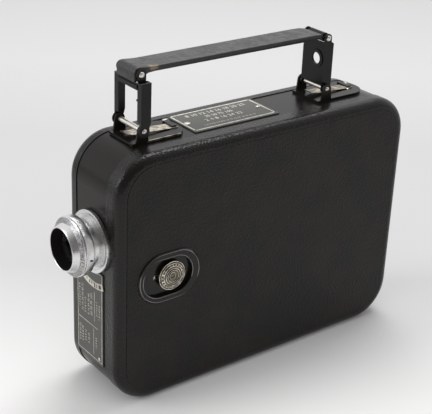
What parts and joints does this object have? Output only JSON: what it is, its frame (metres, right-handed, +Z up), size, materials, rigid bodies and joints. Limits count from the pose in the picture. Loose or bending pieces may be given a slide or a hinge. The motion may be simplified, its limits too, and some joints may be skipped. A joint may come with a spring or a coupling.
{
  "type": "movie camera",
  "caption": "Thin spring-driven movie camera with a leather case, nickel lens, folding finder handle and a lift-off film door.",
  "frame": {"origin": "centre of the tripod socket's mouth, in the middle of the base", "axes": "+Z up, the lens faces -Y, the film door faces +X"},
  "size_m": [0.0462, 0.1808, 0.1522],
  "materials": {
    "leather": "grained",
    "enamel": "gloss",
    "etched": "satin",
    "lens_metal": "turned",
    "nickel": "polished",
    "knob": "worn satin",
    "steel": "satin",
    "plate": "satin",
    "gears": "satin",
    "spool": "gloss",
    "glass": "polished",
    "dial": "matt",
    "chamber": "matt"
  },
  "bodies": {
    "case": {"case_band": "enamel", "mechanism_plate": "plate", "motor_cover": "leather", "tripod_bush": "steel", "lens_flange": "lens_metal", "lens_barrel": "lens_metal", "lens_hood": "lens_metal", "front_element": "glass", "rear_element": "glass", "iris_plate": "chamber", "front_plate": "etched", "name_plate": "etched", "front_bracket": "enamel", "rear_bracket": "enamel", "front_leaf_spring": "nickel", "rear_leaf_spring": "nickel", "front_hinge_rod": "nickel", "rear_hinge_rod": "nickel", "supply_spindle": "steel", "gate_plate": "steel", "pad_holder": "plate", "claw_studs": "steel", "roller_posts": "steel", "bevel_bridge": "plate", "shutter_bearing": "gears", "dial_post": "steel", "dial_window": "glass"},
    "diaphragm": {"diaphragm_ring": "lens_metal"},
    "finder_frame": {"front_post": "enamel", "front_top_pin": "nickel"},
    "finder_eyepiece": {"rear_post": "enamel", "rear_top_pin": "nickel"},
    "grip": {"handle_grip": "leather", "handle_strap": "steel"},
    "door": {"film_door": "leather", "latch_bezel": "enamel"},
    "latch": {"latch_knob": "knob", "latch_bolt": "steel"},
    "supply": {"supply_spool": "spool"},
    "takeup": {"takeup_spool": "spool", "takeup_spindle": "steel"},
    "pad": {"pressure_pad": "steel"},
    "claw_arm": {"claw": "steel"},
    "roller_high": {"upper_roller": "spool"},
    "roller_low": {"lower_roller": "spool"},
    "barrel": {"spring_barrel": "gears"},
    "wheel_two": {"second_wheel": "gears"},
    "wheel_three": {"third_wheel": "gears"},
    "wheel_four": {"fourth_wheel": "gears"},
    "governor_wheel": {"governor": "gears"},
    "shutter": {"shutter_shaft": "steel", "shutter_disc": "chamber"},
    "winder": {"winding_arbor": "steel", "winding_hub": "nickel"},
    "key": {"winding_wing": "nickel"},
    "release": {"release_slide": "nickel"},
    "dial": {"footage_dial": "dial"}
  },
  "joints": [
    {"name": "handle_fold", "type": "hinge", "parent": "case", "child": "finder_frame", "pos_m": [-0.0016, -0.0624, 0.1252], "axis": [1, 0, 0], "range_deg": [0, 85]},
    {"name": "eyepiece_fold", "type": "hinge", "parent": "case", "child": "finder_eyepiece", "pos_m": [-0.0016, 0.0406, 0.1252], "axis": [1, 0, 0], "range_deg": [0, 85]},
    {"name": "grip_pivot", "type": "hinge", "parent": "finder_frame", "child": "grip", "pos_m": [-0.0016, -0.0624, 0.1493], "axis": [1, 0, 0], "range_deg": [-85, 0]},
    {"name": "diaphragm_turn", "type": "hinge", "parent": "case", "child": "diaphragm", "pos_m": [0.0006, -0.091, 0.0767], "axis": [0, 1, 0], "range_deg": [0, 85]},
    {"name": "door_lift", "type": "slide", "parent": "case", "child": "door", "axis": [1, 0, 0], "range_m": [0, 0.028]},
    {"name": "latch_slide", "type": "slide", "parent": "door", "child": "latch", "axis": [0, -1, 0], "range_m": [0, 0.007]},
    {"name": "supply_turn", "type": "hinge", "parent": "case", "child": "supply", "pos_m": [0.0046, 0.046, 0.088], "axis": [1, 0, 0], "continuous": true},
    {"name": "takeup_turn", "type": "hinge", "parent": "case", "child": "takeup", "pos_m": [0.0046, 0.046, 0.0314], "axis": [1, 0, 0], "continuous": true},
    {"name": "pad_lift", "type": "slide", "parent": "case", "child": "pad", "axis": [0, 1, 0], "range_m": [0, 0.003], "stiffness_N_per_m": 100},
    {"name": "claw_stroke", "type": "slide", "parent": "case", "child": "claw_arm", "axis": [0, 0, 1], "range_m": [0, 0.0038]},
    {"name": "upper_roller_turn", "type": "hinge", "parent": "case", "child": "roller_high", "pos_m": [0.0046, -0.061, 0.105], "axis": [1, 0, 0], "continuous": true},
    {"name": "lower_roller_turn", "type": "hinge", "parent": "case", "child": "roller_low", "pos_m": [0.0046, -0.061, 0.046], "axis": [1, 0, 0], "continuous": true},
    {"name": "barrel_turn", "type": "hinge", "parent": "case", "child": "barrel", "pos_m": [-0.014, 0.0159, 0.0649], "axis": [1, 0, 0], "continuous": true},
    {"name": "second_turn", "type": "hinge", "parent": "case", "child": "wheel_two", "pos_m": [-0.01, -0.0201, 0.0649], "axis": [1, 0, 0], "continuous": true},
    {"name": "third_turn", "type": "hinge", "parent": "case", "child": "wheel_three", "pos_m": [-0.01, -0.0489, 0.0649], "axis": [1, 0, 0], "continuous": true},
    {"name": "fourth_turn", "type": "hinge", "parent": "case", "child": "wheel_four", "pos_m": [-0.01, -0.0681, 0.0649], "axis": [1, 0, 0], "continuous": true},
    {"name": "governor_turn", "type": "hinge", "parent": "case", "child": "governor_wheel", "pos_m": [-0.01, -0.0489, 0.0457], "axis": [1, 0, 0], "continuous": true},
    {"name": "shutter_turn", "type": "hinge", "parent": "case", "child": "shutter", "pos_m": [-0.003, -0.075, 0.0649], "axis": [0, 1, 0], "continuous": true},
    {"name": "winding_turn", "type": "hinge", "parent": "case", "child": "winder", "pos_m": [-0.022, 0.0159, 0.0649], "axis": [1, 0, 0], "continuous": true},
    {"name": "key_unfold", "type": "hinge", "parent": "winder", "child": "key", "pos_m": [-0.0226, 0.0159, 0.0649], "axis": [0, 1, 0], "range_deg": [0, 90]},
    {"name": "release_press", "type": "slide", "parent": "case", "child": "release", "axis": [0, 0, -1], "range_m": [0, 0.006], "stiffness_N_per_m": 60},
    {"name": "dial_turn", "type": "hinge", "parent": "case", "child": "dial", "pos_m": [-0.018, 0.05, 0.103], "axis": [1, 0, 0], "continuous": true}
  ],
  "couplings": [
    {"joint": "eyepiece_fold", "follows": "handle_fold", "ratio": 1},
    {"joint": "grip_pivot", "follows": "handle_fold", "ratio": -1},
    {"joint": "second_turn", "follows": "barrel_turn", "ratio": -3},
    {"joint": "third_turn", "follows": "barrel_turn", "ratio": 6},
    {"joint": "fourth_turn", "follows": "barrel_turn", "ratio": -18},
    {"joint": "governor_turn", "follows": "barrel_turn", "ratio": -18},
    {"joint": "shutter_turn", "follows": "barrel_turn", "ratio": 18}
  ]
}
